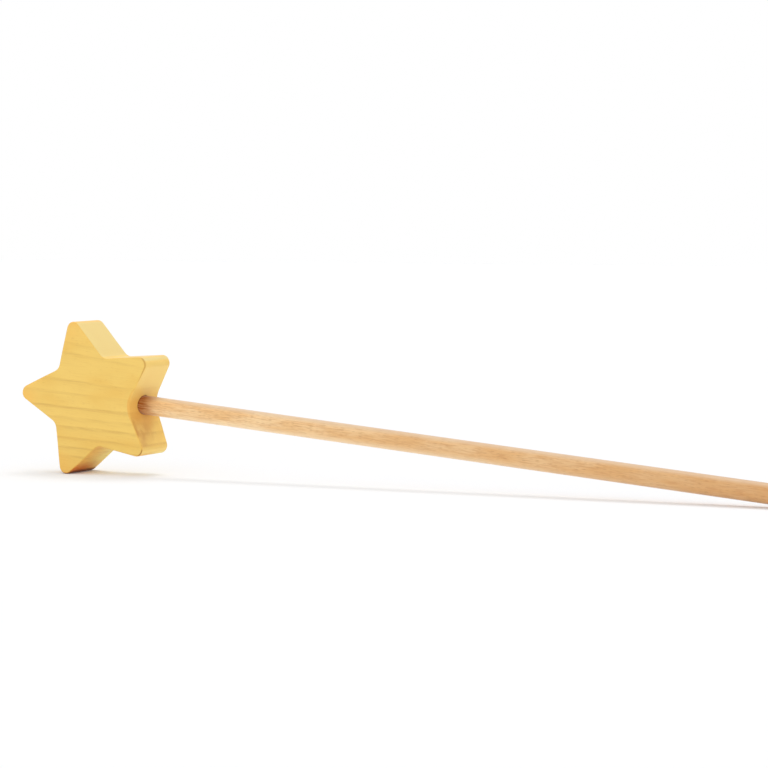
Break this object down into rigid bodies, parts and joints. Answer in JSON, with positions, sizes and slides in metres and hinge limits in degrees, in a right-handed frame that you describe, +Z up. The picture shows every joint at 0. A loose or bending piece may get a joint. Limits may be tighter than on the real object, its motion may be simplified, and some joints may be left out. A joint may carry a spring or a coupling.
{
  "type": "toy magic wand",
  "caption": "Toy magic wand: a thick wooden star with rounded points, stained yellow, glued on the end of a long plain round wooden stick that is held as its handle.",
  "frame": {"origin": "on the surface that the wand lies on, under the middle of its length and of the star's thickness", "axes": "+X along the wand towards the stick's free end, +Y through the star's thickness, +Z up; the wand lies with the star on edge on one point and the stick's free end on the surface"},
  "size_m": [0.3478, 0.02, 0.0646],
  "materials": {
    "stained_star_wood": "see-through yellow stain on pale wood, sanded smooth, satin",
    "stick_wood": "pale reddish wood, sanded smooth, bare",
    "dried_glue": "cured wood glue, cream and slightly clouded"
  },
  "bodies": {
    "root": {"star_head": "stained_star_wood", "wand_stick": "stick_wood", "glue_film": "dried_glue"}
  },
  "joints": []
}
